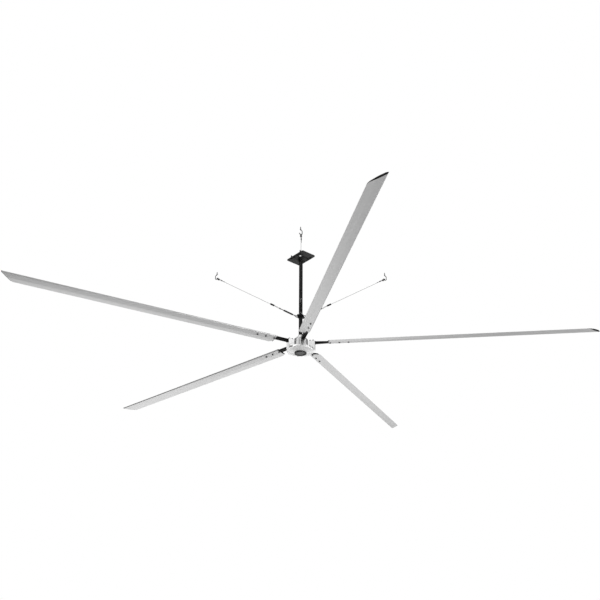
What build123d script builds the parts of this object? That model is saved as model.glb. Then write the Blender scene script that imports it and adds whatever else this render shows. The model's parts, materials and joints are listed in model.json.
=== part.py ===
from build123d import *
import math
import os

# High volume low speed ceiling fan with five long aluminium blades, hung on a down rod and
# steadied by four taut guy wires. Millimetres, +Z up. The origin is the middle of the ceiling
# plate's top face. Heights are given from the blade plane, where the five arm axes lie.
os.makedirs("parts", exist_ok=True)

# Overall sizes
blade_tip_radius = 3658.0
blade_plane_drop = 1250.0
blade_count = 5
first_arm_azimuth = -78.85
guy_count = 4
first_guy_azimuth = -90.0
guy_names = ["near", "right", "far", "left"]

# Clearances and small common sizes
running_clearance = 0.05
seat_clearance = 0.3
cut_overrun = 2.0

# Fasteners: shank radius, width across flats, head height, nut height
m16 = (8.0, 24.0, 10.0, 13.0)
m12 = (6.0, 19.0, 7.5, 10.5)
m10 = (5.0, 16.0, 6.5, 8.5)
m8 = (4.0, 13.0, 5.5, 6.5)
m6 = (3.0, 10.0, 3.5, 5.0)
thread_relief = 0.25
thread_start = 0.5

# Ceiling plate and yoke, set out along the plate's own long side U and short side V
plate_azimuth = -50.0
plate_length = 330.0
plate_width = 225.0
plate_thickness = 10.0
plate_corner_radius = 22.0
plate_hole_radius = 9.0
ceiling_bolt_offset = 90.0
ceiling_bolt_stand = 37.0
cable_hole_radius = 19.0
cable_hole_u = 38.0
cable_hole_v = -44.0
cable_notch_margin = 4.0
yoke_base_length = 118.0
yoke_base_width = 204.0
yoke_base_thickness = 8.0
yoke_base_corner_radius = 10.0
yoke_bolt_edge_u = 20.0
yoke_bolt_edge_v = 15.0
yoke_screw_end = 0.5
cheek_gap = 44.0
cheek_thickness = 8.0
cheek_half_width = 20.0
gusset_reach = 11.0
gusset_thickness = 8.0
pivot_drop = 26.0

# Down rod
rod_radius = 24.15
rod_wall = 3.7
rod_top_gap = 22.0
plug_length = 40.0
tongue_radius = 21.0
rod_bottom_height = 72.0
cross_bolt_edge = 20.0
cross_flat_depth = 1.5
cross_flat_size = 21.0

# Guy collar on the down rod
collar_height = 378.0
collar_length = 32.0
collar_radius = 40.0
collar_split = 3.0
collar_lug_reach = 20.0
collar_lug_thickness = 8.0
collar_lug_length = 26.0
collar_lug_sink = 4.0
split_azimuth = 45.0
ear_reach = 12.0
ear_radius = 14.0
ear_hole_radius = 9.0
ear_thickness = 6.0

# Ceiling hooks for the guys, placed from the point where the shackle bears
hook_reach = 1095.0
hook_bearing_height = 924.0
hook_wire_radius = 5.0
hook_bend_radius = 12.0
hook_tip_length = 16.0
hook_seat_length = 4.5
hook_bulge = 26.5
hook_shoulder = 42.0
hook_neck = 54.0
hook_shank_offset = 8.0
hook_shank_top = 98.0
hook_nut_height = 62.0

# Turnbuckle, measured along the guy from the hole in the collar's ear
lower_eye_radius = 14.0
eye_wire_radius = 4.0
lower_eye_inset = 0.8
screw_radius = 5.0
lower_screw_end = 94.0
turnbuckle_start = 54.0
turnbuckle_length = 134.0
boss_radius = 9.0
boss_length = 24.0
bar_gap = 13.0
bar_width = 6.0
bar_depth = 12.0
upper_screw_start = 148.0
upper_eye_centre = 240.0
upper_eye_radius = 11.0

# Guy wire, its lock, ferrule and thimble, along the guy from the same hole
wire_radius = 2.0
wire_spacing = 4.6
lock_start = 328.0
lock_length = 56.0
lock_width = 14.0
lock_height = 20.0
lock_corner_radius = 4.0
ferrule_back = 53.0
ferrule_length = 20.0
ferrule_wall = 2.8
thimble_groove_radius = 8.6
thimble_hole_radius = 6.5
thimble_lip_radius = 12.4
thimble_thickness = 8.0
thimble_lip_thickness = 1.5
thimble_taper = 30.0
thimble_nose_cut = 21.0

# The wire's route: runs along the guy and offsets from its axis, from its end in the lock round
# the upper eye and back, then from the thimble's centre round the thimble to its other end
wire_low_route = [(378.0, 4.6), (321.0, 4.6), (244.5, 6.7), (244.5, -7.1), (321.0, 0.0)]
wire_high_route = [(-26.0, 0.0), (11.0, -17.3), (11.0, 14.2), (-26.0, 4.6), (-91.0, 4.6)]
wire_bends = [390.0, 6.4, 6.4, 116.0, 24.0, 10.8, 10.8, 42.0]

# Shackle between the thimble and the ceiling hook
shackle_wire_radius = 4.0
shackle_half_width = 12.0
shackle_leg = 14.4
shackle_lug_radius = 8.0
shackle_lug_thickness = 8.0
shackle_pin_radius = 4.0
shackle_pin_head_radius = 6.5
shackle_pin_head = 4.0

# Motor neck, housing and what turns in it
neck_sleeve_radius = 30.0
neck_sleeve_top = 108.0
neck_sleeve_bottom = 82.0
neck_cone_radius = 46.0
neck_flange_radius = 64.0
neck_flange_thickness = 16.0
neck_bolt_circle_radius = 52.0
neck_bolt_azimuth = 45.0
neck_bore_radius = 18.0
neck_head_room_share = 0.62
housing_radius = 92.0
housing_top_height = 50.0
housing_top_thickness = 12.0
housing_wall = 6.0
housing_length = 112.0
housing_chamfer = 5.0
end_cover_thickness = 10.0
bearing_width = 16.0
upper_bearing_radius = 36.0
lower_bearing_radius = 40.0
bearing_boss_wall = 10.0
bearing_shoulder = 6.0
shaft_radius = 17.5
shaft_flange_radius = 50.0
shaft_flange_thickness = 10.0
shaft_flange_gap = 5.0
shaft_bolt_circle_radius = 38.0
shaft_bolt_count = 6
stator_length = 52.0
stator_gap = 8.0
air_gap = 0.5
stator_inner_radius = 60.0

# Rotating hub with a seat for each arm
hub_disc_radius = 175.0
hub_disc_thickness = 15.0
seat_inner_radius = 103.0
seat_outer_radius = 184.0
seat_width = 54.0
seat_top_height = 22.0
seat_flange_width = 60.0
seat_flange_thickness = 10.0
seat_flange_drop = 2.0
seat_pocket_width = 36.0
seat_pocket_top = -30.0
seat_pocket_length = 72.0
seat_pocket_floor = 12.0
seat_bolt_inner = 122.0
seat_bolt_outer = 160.0
seat_bolt_end = 6.0

# Lower cover, centre ring and centre disc
cover_radius = 172.0
cover_rim_width = 16.0
cover_rim_drop = 4.0
cover_depth = 26.0
cover_sheet = 3.0
cover_hole_radius = 30.0
cover_screw_inset = 8.0
ring_radius = 76.0
ring_width = 18.0
ring_depth = 15.0
ring_chamfer = 3.0
disc_depth = 10.0

# Arms: tenon, shoulder, tapered beam, root collar and the spade inside the blade
blade_pitch = 8.86
tenon_start = 106.0
tenon_width = 44.0
tenon_thickness = 22.0
shoulder_thickness = 8.0
shoulder_width = 54.0
shoulder_height = 34.0
beam_root_width = 46.0
beam_root_thickness = 30.0
beam_tip_width = 64.0
beam_tip_thickness = 16.0
beam_corner_radius = 5.0
groove_width_share = 0.55
groove_depth_share = 0.14
root_collar_thickness = 5.0
root_collar_front_share = 0.97
root_collar_rear_share = 0.84
spade_width = 62.0
spade_thickness = 16.0
spade_length = 281.0
spade_corner_radius = 12.0

# Blade section, chordwise from the arm axis towards the leading edge, and its ends
blade_root_radius = 359.0
leading_edge = 48.0
trailing_edge = -105.0
under_depth = 10.5
crown_height = 11.5
crown_half_width = 10.0
skin = 2.2
trailing_thickness = 2.0
trailing_camber = -3.2
bolt_offsets = [16.0, 131.0, 246.0]
root_corner_length = 34.0
root_corner_width = 46.0
tip_sweep = 0.945
tip_corner_radius = 78.0
tip_cap_thickness = 4.0

# Shares of the leading edge's reach, the trailing edge's reach and the section's heights
nose_upper_shares = (0.71, 0.83)
nose_lower_shares = (0.87, 0.74)
nose_tip_share = -0.05
rear_upper_shares = [(0.66, 0.40), (0.30, 0.90)]
rear_lower_shares = [(0.66, 0.68)]

blade_plane = -blade_plane_drop
pivot_level = -plate_thickness - yoke_base_thickness - pivot_drop
rod_top_level = pivot_level - rod_top_gap


def save(shape, name):
    export_step(shape, f"parts/{name}.step")


def group(solids):
    return Compound(children=list(solids))


def level(height):
    return blade_plane + height


def rod_piece(radius, length):
    return Cylinder(radius, length, align=(Align.CENTER, Align.CENTER, Align.MIN))


def tube_piece(outer, inner, length):
    return rod_piece(outer, length) - rod_piece(inner, length)


def block(length, width, height):
    return Box(length, width, height, align=(Align.MIN, Align.CENTER, Align.CENTER))


def along_x(radius, length):
    return Rot(0, 90, 0) * rod_piece(radius, length)


def turned(points):
    # a closed outline of radius and height pairs turned about the Z axis
    outline = Polyline(*[(r, h) for r, h in points], close=True)
    return revolve(Plane.XZ * make_face(outline), Axis.Z)


def hex_piece(across_flats, height):
    return extrude(RegularPolygon(across_flats / 2, 6, major_radius=False), height)


def bolt(size, grip, end=0.0):
    # the head's seat is at zero, the head above it and the shank below
    shank_radius, across_flats, head, nut = size
    shank = Pos(0, 0, -grip - end) * rod_piece(shank_radius, grip + end)
    return hex_piece(across_flats, head) + shank


def bolt_nut(size, grip):
    # the nut that goes on the far side of the grip
    shank_radius, across_flats, head, nut = size
    ring = hex_piece(across_flats, nut) - rod_piece(shank_radius + running_clearance, nut)
    return Pos(0, 0, -grip - nut) * ring


def bolt_hole(size, depth):
    return Pos(0, 0, -depth) * rod_piece(size[0] + running_clearance, depth + cut_overrun)


def on_plate(shape):
    return Rot(0, 0, plate_azimuth) * shape


def on_arm(shape, number):
    azimuth = first_arm_azimuth + number * 360 / blade_count
    return Rot(0, 0, azimuth) * Pos(0, 0, blade_plane) * shape


def pitched(shape):
    return Rot(blade_pitch, 0, 0) * shape


# Ceiling plate, seen as a black diamond round the rod's top
yoke_bolt_u = yoke_base_length / 2 - yoke_bolt_edge_u
yoke_bolt_v = yoke_base_width / 2 - yoke_bolt_edge_v
corner_signs = [(1, 1), (-1, 1), (-1, -1), (1, -1)]


def ceiling_plate():
    outline = RectangleRounded(plate_length, plate_width, plate_corner_radius)
    for su, sv in corner_signs:
        outline -= Pos(su * ceiling_bolt_offset, sv * ceiling_bolt_offset) * Circle(plate_hole_radius)
        outline -= Pos(su * yoke_bolt_u, sv * yoke_bolt_v) * Circle(m12[0] + running_clearance)
    outline -= Pos(cable_hole_u, cable_hole_v) * Circle(cable_hole_radius)
    return on_plate(extrude(outline, -plate_thickness))


def yoke():
    outline = RectangleRounded(yoke_base_length, yoke_base_width, yoke_base_corner_radius)
    for su, sv in corner_signs:
        outline -= Pos(su * yoke_bolt_u, sv * yoke_bolt_v) * Circle(m12[0] + running_clearance)
    notch = cable_hole_radius + cable_notch_margin
    outline -= Pos(cable_hole_u, cable_hole_v) * Circle(notch)
    outline -= Pos(cable_hole_u + yoke_base_length / 2, cable_hole_v) * Rectangle(yoke_base_length, 2 * notch)
    body = Pos(0, 0, -plate_thickness) * extrude(outline, -yoke_base_thickness)
    base_level = -plate_thickness - yoke_base_thickness
    for side in (1, -1):
        outer = side * (cheek_gap / 2 + cheek_thickness)
        cheek = Circle(cheek_half_width)
        cheek += Pos(0, pivot_drop / 2) * Rectangle(2 * cheek_half_width, pivot_drop)
        cheek -= Circle(m16[0] + running_clearance)
        cheek = extrude(Plane.YZ * cheek, cheek_thickness)
        inner = min(outer, outer - side * cheek_thickness)
        body += Pos(inner, 0, pivot_level) * cheek
        rib = Polyline((0, 0), (side * gusset_reach, 0), (0, -gusset_reach), close=True)
        rib = extrude(Plane.XZ * make_face(rib), gusset_thickness / 2, both=True)
        body += Pos(outer, 0, base_level) * rib
    return on_plate(body)


def yoke_screws():
    # heads under the yoke, shanks screwed into the plate and ending just under its top face
    depth = plate_thickness + yoke_base_thickness - yoke_screw_end
    seat = -plate_thickness - yoke_base_thickness
    pieces = []
    for su, sv in corner_signs:
        place = Pos(su * yoke_bolt_u, sv * yoke_bolt_v, seat) * Rot(180, 0, 0)
        pieces.append(on_plate(place * bolt(m12, depth)))
    return group(pieces)


def ceiling_bolts():
    # heads under the plate, shanks through it and threads standing out of it for the ceiling
    length = plate_thickness + ceiling_bolt_stand
    piece = bolt(m16, plate_thickness, thread_start)
    piece += Pos(0, 0, -length) * rod_piece(m16[0] - thread_relief, ceiling_bolt_stand)
    pieces = []
    for su, sv in corner_signs:
        place = Pos(su * ceiling_bolt_offset, sv * ceiling_bolt_offset, -plate_thickness) * Rot(180, 0, 0)
        pieces.append(on_plate(place * piece))
    return group(pieces)


def pivot_bolt():
    grip = cheek_gap + 2 * cheek_thickness
    place = Pos(grip / 2, 0, pivot_level) * Rot(0, 90, 0)
    pieces = [place * bolt(m16, grip, m16[3]), place * bolt_nut(m16, grip)]
    return group([on_plate(piece) for piece in pieces])


save(ceiling_plate(), "ceiling_plate")
save(yoke(), "yoke")
save(yoke_screws(), "yoke_screws")
save(ceiling_bolts(), "ceiling_bolts")
save(pivot_bolt(), "pivot_bolt")

# Down rod, the plug and tongue that hang it on the pivot bolt, and its cross bolts
rod_bottom_level = level(rod_bottom_height)
top_cross_level = rod_top_level - cross_bolt_edge
bottom_cross_level = level((neck_sleeve_top + neck_sleeve_bottom) / 2)
plug_radius = rod_radius - rod_wall - running_clearance
cross_hole = along_x(m10[0] + running_clearance, 4 * rod_radius)
cross_hole = Pos(-2 * rod_radius, 0, 0) * cross_hole


def down_rod():
    length = rod_top_level - rod_bottom_level
    pipe = Pos(0, 0, rod_bottom_level) * tube_piece(rod_radius, rod_radius - rod_wall, length)
    for z in (top_cross_level, bottom_cross_level):
        pipe -= on_plate(Pos(0, 0, z) * cross_hole)
    return pipe


def rod_top_eye():
    plug = Pos(0, 0, rod_top_level - plug_length) * rod_piece(plug_radius, plug_length)
    width = cheek_gap - 2 * seat_clearance
    tongue = Circle(tongue_radius)
    tongue += Pos(0, -rod_top_gap / 2) * Rectangle(2 * tongue_radius, rod_top_gap)
    tongue -= Circle(m16[0] + running_clearance)
    tongue = extrude(Plane.YZ * tongue, width / 2, both=True)
    body = plug + Pos(0, 0, pivot_level) * tongue
    body -= Pos(0, 0, top_cross_level) * cross_hole
    return on_plate(body)


def cross_bolts():
    pieces = []
    for z, reach in ((top_cross_level, rod_radius), (bottom_cross_level, neck_sleeve_radius)):
        flat = cross_flat_depth if reach == neck_sleeve_radius else 0.0
        seat = reach - flat
        place = Pos(seat, 0, z) * Rot(0, 90, 0)
        pieces.append(on_plate(place * bolt(m10, 2 * seat, m10[3])))
        pieces.append(on_plate(place * bolt_nut(m10, 2 * seat)))
    return group(pieces)


save(down_rod(), "down_rod")
save(rod_top_eye(), "rod_top_eye")
save(cross_bolts(), "rod_cross_bolts")

# Guy collar: two clamped halves with an ear for each guy
ear_centre = collar_radius + ear_reach
lug_end = collar_radius + collar_lug_reach - collar_lug_sink
lug_bolt_radius = (collar_radius + lug_end) / 2


def collar_half(number):
    low = level(collar_height) - collar_length / 2
    ring = Pos(0, 0, low) * tube_piece(collar_radius, rod_radius, collar_length)
    middle = split_azimuth + 90 + 180 * number
    half_space = Pos(collar_split / 2, 0, 0) * block(2 * collar_radius, 4 * collar_radius, 2 * collar_length)
    body = ring & (Pos(0, 0, level(collar_height)) * Rot(0, 0, middle) * half_space)
    for k in range(guy_count):
        azimuth = first_guy_azimuth + k * 360 / guy_count
        offset = (azimuth - middle + 180) % 360 - 180
        if abs(offset) < 90:
            ear = Pos(ear_centre, 0) * Circle(ear_radius)
            ear_start = (rod_radius + collar_radius) / 2
            ear += Pos((ear_start + ear_centre) / 2, 0) * Rectangle(ear_centre - ear_start, 2 * ear_radius)
            ear -= Pos(ear_centre, 0) * Circle(ear_hole_radius)
            ear = extrude(Plane.XZ * ear, ear_thickness / 2, both=True)
            body += Pos(0, 0, level(collar_height)) * Rot(0, 0, azimuth) * ear
    lug_start = (rod_radius + collar_radius) / 2
    for side in (1, -1):
        lug = Box(lug_end - lug_start, collar_lug_thickness, collar_lug_length,
                  align=(Align.MIN, Align.MIN if side == 1 else Align.MAX, Align.CENTER))
        lug = Pos(lug_start, side * collar_split / 2, 0) * lug
        hole = Cylinder(m8[0] + running_clearance, 4 * collar_lug_thickness)
        hole = Pos(lug_bolt_radius, 0, 0) * Rot(90, 0, 0) * hole
        body += Pos(0, 0, level(collar_height)) * Rot(0, 0, middle - side * 90) * (lug - hole)
    return body


def collar_bolts():
    grip = collar_split + 2 * collar_lug_thickness
    pieces = []
    for k in range(2):
        place = Pos(0, 0, level(collar_height)) * Rot(0, 0, split_azimuth + 180 * k)
        place = place * Pos(lug_bolt_radius, grip / 2, 0) * Rot(-90, 0, 0)
        pieces.append(place * bolt(m8, grip, m8[3]))
        pieces.append(place * bolt_nut(m8, grip))
    return group(pieces)


save(collar_half(0), "collar_rear_half")
save(collar_half(1), "collar_front_half")
save(collar_bolts(), "collar_bolts")

# The guys run straight from the collar's ears to the bearing point in the ceiling hooks
guy_run = hook_reach - ear_centre
guy_rise = hook_bearing_height - collar_height
guy_slope = math.degrees(math.atan2(guy_rise, guy_run))
guy_length = math.hypot(guy_run, guy_rise)


def on_guy(shape, number):
    # X along the guy from the ear's hole, Y level, Z square to both
    azimuth = first_guy_azimuth + number * 360 / guy_count
    return Rot(0, 0, azimuth) * Pos(ear_centre, 0, level(collar_height)) * Rot(0, -guy_slope, 0) * shape


def end_roll(number):
    # the end fittings of the two side guys are rolled a quarter turn about the guy
    return Rot(90 * (number % 2), 0, 0)


def all_guys(piece, rolled=False):
    pieces = []
    for k in range(guy_count):
        pieces.append(on_guy(end_roll(k) * piece if rolled else piece, k))
    return group(pieces)


def ring_eye(centre, ring_radius_here, screw_start, screw_end):
    eye = Pos(centre, 0, 0) * Torus(ring_radius_here, eye_wire_radius)
    return eye + Pos(screw_start, 0, 0) * along_x(screw_radius, screw_end - screw_start)


lower_eye_centre = ear_hole_radius - eye_wire_radius - lower_eye_inset + lower_eye_radius
lower_eye = ring_eye(lower_eye_centre, lower_eye_radius, lower_eye_centre + lower_eye_radius, lower_screw_end)
upper_screw_end = upper_eye_centre - upper_eye_radius
upper_eye = ring_eye(upper_eye_centre, upper_eye_radius, upper_screw_start, upper_screw_end)
save(all_guys(lower_eye), "lower_eyes")
save(all_guys(upper_eye), "upper_eyes")


def turnbuckle():
    body = along_x(boss_radius, boss_length)
    body += Pos(turnbuckle_length - boss_length, 0, 0) * along_x(boss_radius, boss_length)
    for side in (1, -1):
        bar = Rectangle(bar_width, bar_depth)
        bar = Pos(side * (bar_gap + bar_width) / 2, 0) * bar
        body += Pos(boss_length / 4, 0, 0) * extrude(Plane.YZ * bar, turnbuckle_length - boss_length / 2)
    screw_way = along_x(screw_radius + running_clearance, turnbuckle_length + 2 * cut_overrun)
    body -= Pos(-cut_overrun, 0, 0) * screw_way
    return Pos(turnbuckle_start, 0, 0) * body


for number, name in enumerate(guy_names):
    save(on_guy(turnbuckle(), number), f"turnbuckle_{name}")

# From the hook back along the guy: shackle, pin, thimble and ferrule
bow_apex = guy_length + hook_wire_radius + seat_clearance + shackle_wire_radius
bow_centre = bow_apex - shackle_half_width
pin_centre = bow_centre - shackle_leg
thimble_centre = pin_centre - thimble_hole_radius + shackle_pin_radius + seat_clearance
ferrule_start = thimble_centre - ferrule_back


def guy_wire(rolled):
    points = [(run, 0, offset) for run, offset in wire_low_route]
    for back, offset in wire_high_route:
        run = thimble_centre + back
        points.append((run, 0, offset) if rolled else (run, offset, 0))
    path = FilletPolyline(*points, radius=wire_bends)
    start = Plane(origin=path @ 0, z_dir=path % 0)
    wire = sweep(start * Circle(wire_radius), path=path)
    share = wire.volume / (math.pi * wire_radius ** 2 * path.length)
    print(f"guy wire length {path.length:.1f} mm, bends {wire_bends}, volume share {share:.4f}")
    return wire


for number, name in enumerate(guy_names):
    save(on_guy(guy_wire(number % 2 == 1), number), f"guy_wire_{name}")


def twin_slot(height):
    # the outline round two wires side by side
    return SlotCenterToCenter(wire_spacing, height)


def wire_lock():
    slot = Pos(0, wire_spacing / 2) * Rot(0, 0, 90) * twin_slot(2 * (wire_radius + running_clearance))
    outline = Pos(0, wire_spacing / 2) * RectangleRounded(lock_width, lock_height, lock_corner_radius)
    return Pos(lock_start, 0, 0) * extrude(Plane.YZ * (outline - slot), lock_length)


def ferrule():
    slot = Pos(wire_spacing / 2, 0) * twin_slot(2 * (wire_radius + running_clearance))
    outline = Pos(wire_spacing / 2, 0) * twin_slot(2 * (wire_radius + ferrule_wall))
    return Pos(ferrule_start, 0, 0) * extrude(Plane.YZ * (outline - slot), ferrule_length)


def teardrop(radius):
    # a circle with two tangents that meet on the wire's side
    slope = math.radians(thimble_taper)
    touch = (-radius * math.sin(slope), radius * math.cos(slope))
    point = (-radius / math.sin(slope), 0.0)
    return Circle(radius) + make_face(Polyline(point, touch, (touch[0], -touch[1]), close=True))


def thimble():
    core = extrude(teardrop(thimble_groove_radius), thimble_thickness / 2, both=True)
    lip_offset = (thimble_thickness - thimble_lip_thickness) / 2
    for side in (1, -1):
        lip = extrude(teardrop(thimble_lip_radius), thimble_lip_thickness / 2, both=True)
        core += Pos(0, 0, side * lip_offset) * lip
    core -= extrude(teardrop(thimble_hole_radius), thimble_thickness, both=True)
    nose_length = thimble_lip_radius / math.sin(math.radians(thimble_taper))
    nose = block(nose_length, 4 * thimble_lip_radius, 2 * thimble_thickness)
    core -= Pos(-thimble_nose_cut, 0, 0) * Rot(0, 180, 0) * nose
    return Pos(thimble_centre, 0, 0) * core


save(all_guys(wire_lock()), "wire_locks")
save(all_guys(ferrule(), rolled=True), "wire_ferrules")
save(all_guys(thimble(), rolled=True), "wire_thimbles")

# Shackle: its pin bears in the thimble and its bow goes round the hook's wire
def shackle():
    bow = Plane.XZ * (
        Line((pin_centre, -shackle_half_width), (bow_centre, -shackle_half_width))
        + ThreePointArc((bow_centre, -shackle_half_width), (bow_apex, 0), (bow_centre, shackle_half_width))
        + Line((bow_centre, shackle_half_width), (pin_centre, shackle_half_width)))
    start = Plane(origin=(pin_centre, 0, -shackle_half_width), z_dir=(1, 0, 0))
    body = sweep(start * Circle(shackle_wire_radius), path=bow)
    for side in (1, -1):
        lug = Cylinder(shackle_lug_radius, shackle_lug_thickness)
        body += Pos(pin_centre, 0, side * shackle_half_width) * lug
    hole = Cylinder(shackle_pin_radius + running_clearance, 4 * shackle_half_width)
    return body - Pos(pin_centre, 0, 0) * hole


def shackle_pin():
    reach = shackle_half_width + shackle_lug_thickness / 2
    pin = Cylinder(shackle_pin_radius, 2 * reach + shackle_pin_head)
    head = Cylinder(shackle_pin_head_radius, shackle_pin_head)
    for side in (1, -1):
        pin += Pos(0, 0, side * (reach + shackle_pin_head / 2)) * head
    return Pos(pin_centre, 0, 0) * pin


save(all_guys(shackle(), rolled=True), "shackles")
save(all_guys(shackle_pin(), rolled=True), "shackle_pins")


hook_slope = math.radians(guy_slope)
hook_seat_turn = math.pi / 2 - hook_slope
hook_corner_run = hook_seat_length + hook_bend_radius * math.tan(hook_seat_turn / 2)
hook_floor = -hook_corner_run * math.cos(hook_slope)
hook_floor_start = hook_corner_run * math.sin(hook_slope) + hook_corner_run - hook_seat_length
hook_floor_middle = (hook_floor_start + hook_bulge - hook_bend_radius) / 2


def ceiling_hook():
    # the shackle bears at zero, where the wire of the hook stands square to the guy
    thread_low = hook_nut_height + m10[3] + thread_start
    points = [
        (hook_shank_offset, thread_low),
        (hook_shank_offset, hook_neck),
        (hook_bulge, hook_shoulder),
        (hook_bulge, hook_floor),
        (hook_corner_run * math.sin(hook_slope), hook_floor),
        (-hook_tip_length * math.sin(hook_slope), hook_tip_length * math.cos(hook_slope)),
    ]
    path = Plane.XZ * FilletPolyline(*points, radius=hook_bend_radius)
    start = Plane(origin=path @ 0, z_dir=path % 0)
    thread = rod_piece(hook_wire_radius - thread_relief, hook_shank_top - thread_low)
    return sweep(start * Circle(hook_wire_radius), path=path) + Pos(hook_shank_offset, 0, thread_low) * thread


def hook_nut():
    shank_radius, across_flats, head, nut = m10
    ring = hex_piece(across_flats, nut) - rod_piece(hook_wire_radius + running_clearance, nut)
    return Pos(hook_shank_offset, 0, hook_nut_height) * ring


def at_hooks(piece):
    # the side hooks lie in the guy's own plane, the near and far ones across it on their floor
    pieces = []
    for k in range(guy_count):
        azimuth = first_guy_azimuth + k * 360 / guy_count
        across = Rot(0, 0, 90) * Pos(-hook_floor_middle, 0, -hook_floor)
        turn = Rot(0, 0, 0) if k % 2 == 1 else across
        pieces.append(Rot(0, 0, azimuth) * Pos(hook_reach, 0, level(hook_bearing_height)) * turn * piece)
    return group(pieces)


save(at_hooks(ceiling_hook()), "ceiling_hooks")
save(at_hooks(hook_nut()), "hook_nuts")

# Motor neck on the rod's lower end and the fixed motor housing under it
flange_top = housing_top_height + neck_flange_thickness
cone_foot = flange_top + (neck_sleeve_bottom - flange_top) / 8
neck_bolt_grip = neck_flange_thickness + housing_top_thickness


def at_neck_bolts(piece):
    pieces = []
    for k in range(4):
        place = Rot(0, 0, neck_bolt_azimuth + 90 * k) * Pos(neck_bolt_circle_radius, 0, level(flange_top))
        pieces.append(place * piece)
    return pieces


def motor_neck():
    body = Pos(0, 0, blade_plane) * turned([
        (neck_bore_radius, housing_top_height),
        (neck_flange_radius, housing_top_height),
        (neck_flange_radius, flange_top),
        (neck_cone_radius, cone_foot),
        (neck_sleeve_radius, neck_sleeve_bottom),
        (neck_sleeve_radius, neck_sleeve_top),
        (rod_radius + running_clearance, neck_sleeve_top),
        (rod_radius + running_clearance, rod_bottom_height),
        (neck_bore_radius, rod_bottom_height),
    ])
    body -= on_plate(Pos(0, 0, bottom_cross_level) * cross_hole)
    for side in (1, -1):
        flat = block(2 * cross_flat_depth, cross_flat_size, cross_flat_size)
        place = Pos(side * (neck_sleeve_radius - cross_flat_depth), 0, bottom_cross_level)
        body -= on_plate(place * (flat if side == 1 else Rot(0, 0, 180) * flat))
    for hole in at_neck_bolts(bolt_hole(m12, neck_bolt_grip)):
        body -= hole
    for head in at_neck_bolts(rod_piece(m12[1] * neck_head_room_share, neck_sleeve_bottom - flange_top)):
        body -= head
    return body


def neck_bolts():
    return group(at_neck_bolts(bolt(m12, neck_bolt_grip)))


save(motor_neck(), "motor_neck")
save(neck_bolts(), "motor_neck_bolts")

housing_bottom = housing_top_height - housing_length
housing_ceiling = housing_top_height - housing_top_thickness
housing_inner = housing_radius - housing_wall
upper_bearing_top = housing_ceiling - seat_clearance
upper_bearing_bottom = upper_bearing_top - bearing_width
stator_top = upper_bearing_bottom - stator_gap
stator_bottom = stator_top - stator_length
lower_bearing_bottom = housing_bottom - end_cover_thickness + bearing_shoulder
lower_bearing_top = lower_bearing_bottom + bearing_width


def motor_housing():
    boss_outer = upper_bearing_radius + bearing_boss_wall
    body = Pos(0, 0, blade_plane) * turned([
        (neck_bore_radius, housing_top_height),
        (housing_radius - housing_chamfer, housing_top_height),
        (housing_radius, housing_top_height - housing_chamfer),
        (housing_radius, housing_bottom),
        (housing_inner, housing_bottom),
        (housing_inner, housing_ceiling),
        (boss_outer, housing_ceiling),
        (boss_outer, upper_bearing_bottom),
        (upper_bearing_radius, upper_bearing_bottom),
        (upper_bearing_radius, housing_ceiling),
        (neck_bore_radius, housing_ceiling),
    ])
    for hole in at_neck_bolts(bolt_hole(m12, neck_bolt_grip + cut_overrun)):
        body -= hole
    return body


def motor_end_cover():
    boss_outer = lower_bearing_radius + bearing_boss_wall
    return Pos(0, 0, blade_plane) * turned([
        (shaft_radius + bearing_shoulder, housing_bottom - end_cover_thickness),
        (housing_radius, housing_bottom - end_cover_thickness),
        (housing_radius, housing_bottom),
        (boss_outer, housing_bottom),
        (boss_outer, lower_bearing_top),
        (lower_bearing_radius, lower_bearing_top),
        (lower_bearing_radius, lower_bearing_bottom),
        (shaft_radius + bearing_shoulder, lower_bearing_bottom),
    ])


def bearing(outer, bottom):
    ring = tube_piece(outer, shaft_radius + running_clearance, bearing_width)
    return Pos(0, 0, level(bottom)) * ring


save(motor_housing(), "motor_housing")
save(motor_end_cover(), "motor_end_cover")
save(bearing(upper_bearing_radius, upper_bearing_bottom), "upper_bearing")
save(bearing(lower_bearing_radius, lower_bearing_bottom), "lower_bearing")
stator = tube_piece(housing_inner, stator_inner_radius, stator_length)
save(Pos(0, 0, level(stator_bottom)) * stator, "motor_stator")
magnet_ring = tube_piece(stator_inner_radius - air_gap, shaft_radius, stator_length)
save(Pos(0, 0, level(stator_bottom)) * magnet_ring, "motor_rotor")

# The shaft turns with the hub, which is bolted under its flange
shaft_flange_top = housing_bottom - end_cover_thickness - shaft_flange_gap
hub_top = shaft_flange_top - shaft_flange_thickness
hub_bottom = hub_top - hub_disc_thickness
shaft_top = housing_ceiling - 2 * seat_clearance
shaft_bolt_grip = hub_disc_thickness + shaft_flange_thickness


def at_shaft_bolts(piece):
    pieces = []
    for k in range(shaft_bolt_count):
        place = Rot(0, 0, k * 360 / shaft_bolt_count) * Pos(shaft_bolt_circle_radius, 0, level(hub_bottom))
        pieces.append(place * Rot(180, 0, 0) * piece)
    return pieces


def motor_shaft():
    body = Pos(0, 0, blade_plane) * turned([
        (0, hub_top),
        (shaft_flange_radius, hub_top),
        (shaft_flange_radius, shaft_flange_top),
        (shaft_radius, shaft_flange_top),
        (shaft_radius, shaft_top),
        (0, shaft_top),
    ])
    for hole in at_shaft_bolts(bolt_hole(m10, shaft_bolt_grip)):
        body -= hole
    return body


save(motor_shaft(), "motor_shaft")
save(group(at_shaft_bolts(bolt(m10, shaft_bolt_grip))), "shaft_bolts")

# Hub casting: a disc with five socket seats that hold the arms' tenons
seat_bolt_reaches = [seat_bolt_inner, seat_bolt_outer]
seat_bolt_grip = seat_top_height - seat_pocket_top
cover_screw_radius = cover_radius - cover_screw_inset


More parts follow.
